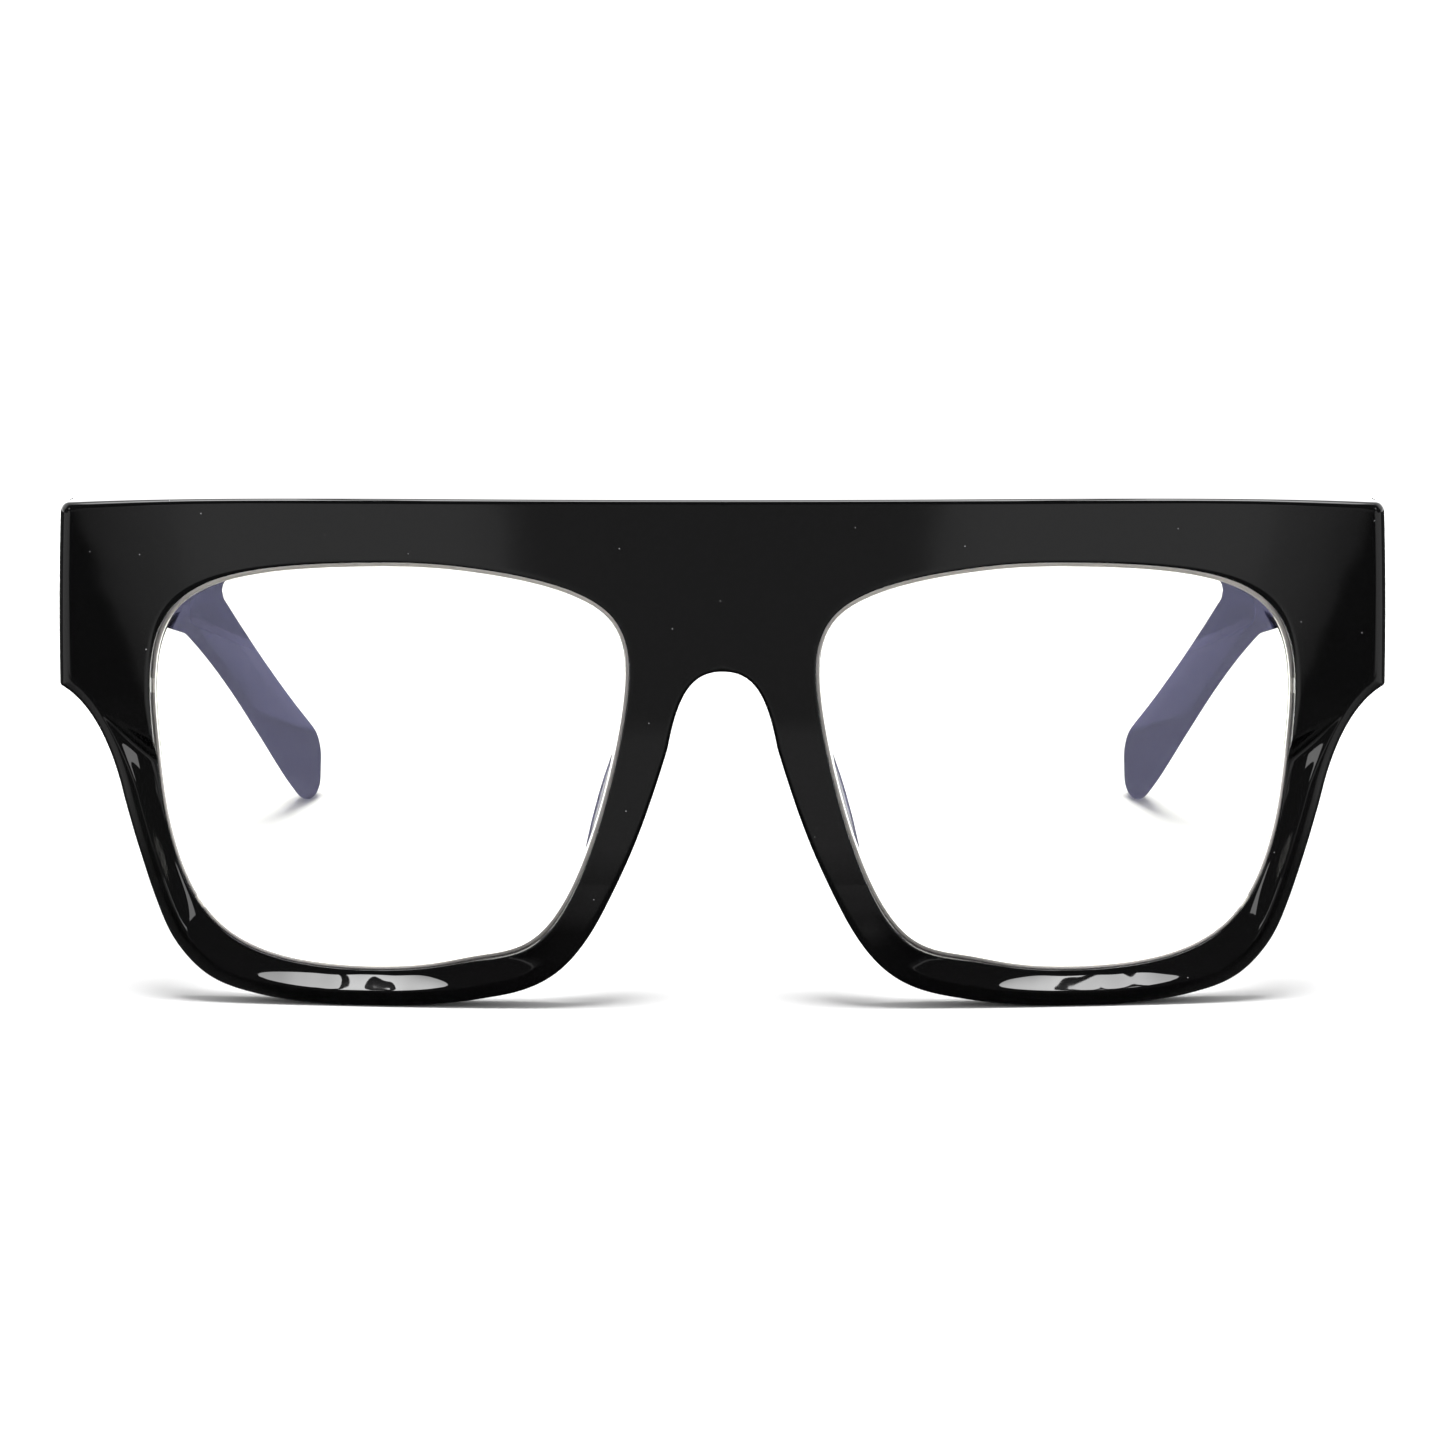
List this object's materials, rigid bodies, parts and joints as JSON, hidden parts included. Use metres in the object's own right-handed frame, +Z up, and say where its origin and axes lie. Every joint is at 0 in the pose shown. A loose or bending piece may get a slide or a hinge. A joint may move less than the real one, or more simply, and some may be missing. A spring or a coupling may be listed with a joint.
{
  "type": "glasses",
  "caption": "Chunky flat-topped black acetate glasses with clear blue-light lenses and folding temples.",
  "frame": {"origin": "on the surface the glasses stand on, under the middle of their bounding box", "axes": "+X towards the wearer's left, +Y back along the open temples, +Z up"},
  "size_m": [0.1464, 0.146, 0.0564],
  "materials": {
    "acetate": "polished black acetate",
    "lens": "clear with a faint blue-violet reflection",
    "hinge_metal": "satin",
    "screw_metal": "satin",
    "core_metal": "satin"
  },
  "bodies": {
    "front": {"front_frame": "acetate", "lens_left": "lens", "nose_pad_left": "acetate", "front_hinge_leaf_left": "hinge_metal", "hinge_screw_left": "screw_metal", "leaf_screw_front_left_1": "screw_metal", "leaf_screw_front_left_2": "screw_metal", "lens_right": "lens", "nose_pad_right": "acetate", "front_hinge_leaf_right": "hinge_metal", "hinge_screw_right": "screw_metal", "leaf_screw_front_right_1": "screw_metal", "leaf_screw_front_right_2": "screw_metal"},
    "temple_left": {"temple_left": "acetate", "core_wire_left": "core_metal", "temple_hinge_leaf_left": "hinge_metal", "leaf_screw_temple_left_1": "screw_metal", "leaf_screw_temple_left_2": "screw_metal"},
    "temple_right": {"temple_right": "acetate", "core_wire_right": "core_metal", "temple_hinge_leaf_right": "hinge_metal", "leaf_screw_temple_right_1": "screw_metal", "leaf_screw_temple_right_2": "screw_metal"}
  },
  "joints": [
    {"name": "temple_hinge_left", "type": "hinge", "parent": "front", "child": "temple_left", "pos_m": [0.0638, -0.059, 0.049], "axis": [0, 0, 1], "range_deg": [0, 87]},
    {"name": "temple_hinge_right", "type": "hinge", "parent": "front", "child": "temple_right", "pos_m": [-0.0638, -0.059, 0.049], "axis": [0, 0, -1], "range_deg": [0, 80]}
  ]
}
